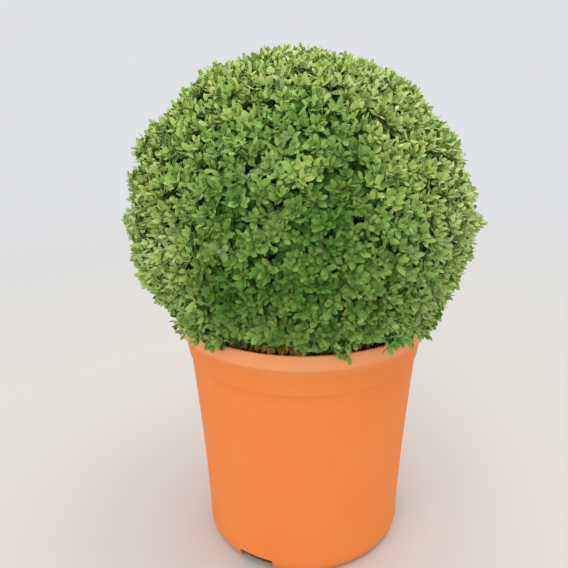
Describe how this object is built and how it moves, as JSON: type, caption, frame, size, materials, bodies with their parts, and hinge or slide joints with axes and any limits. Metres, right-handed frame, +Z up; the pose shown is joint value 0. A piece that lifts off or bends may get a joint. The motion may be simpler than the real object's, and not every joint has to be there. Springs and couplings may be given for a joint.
{
  "type": "potted clipped holly ball",
  "caption": "Evergreen shrub clipped to a dense ball on a short stem, rooted in compost in a round tapered plastic nursery pot.",
  "frame": {"origin": "centre of the pot's flat underside", "axes": "+Z up along the pot's axis, -Y towards the side that the picture shows"},
  "size_m": [0.391, 0.3927, 0.5878],
  "materials": {
    "pot_plastic": "satin injection-moulded orange polypropylene",
    "compost": "dark, moist, crumbly peat and bark compost",
    "bark": "thin grey-brown bark with fine ridges and pores",
    "foliage": "small waxy green leaves, yellow-green at the young tips"
  },
  "bodies": {
    "root": {"pot": "pot_plastic", "root_ball": "compost", "trunk": "bark", "bough_1": "bark", "bough_2": "bark", "bough_3": "bark", "bough_4": "bark", "bough_5": "bark", "foliage_ball": "foliage"}
  },
  "joints": []
}
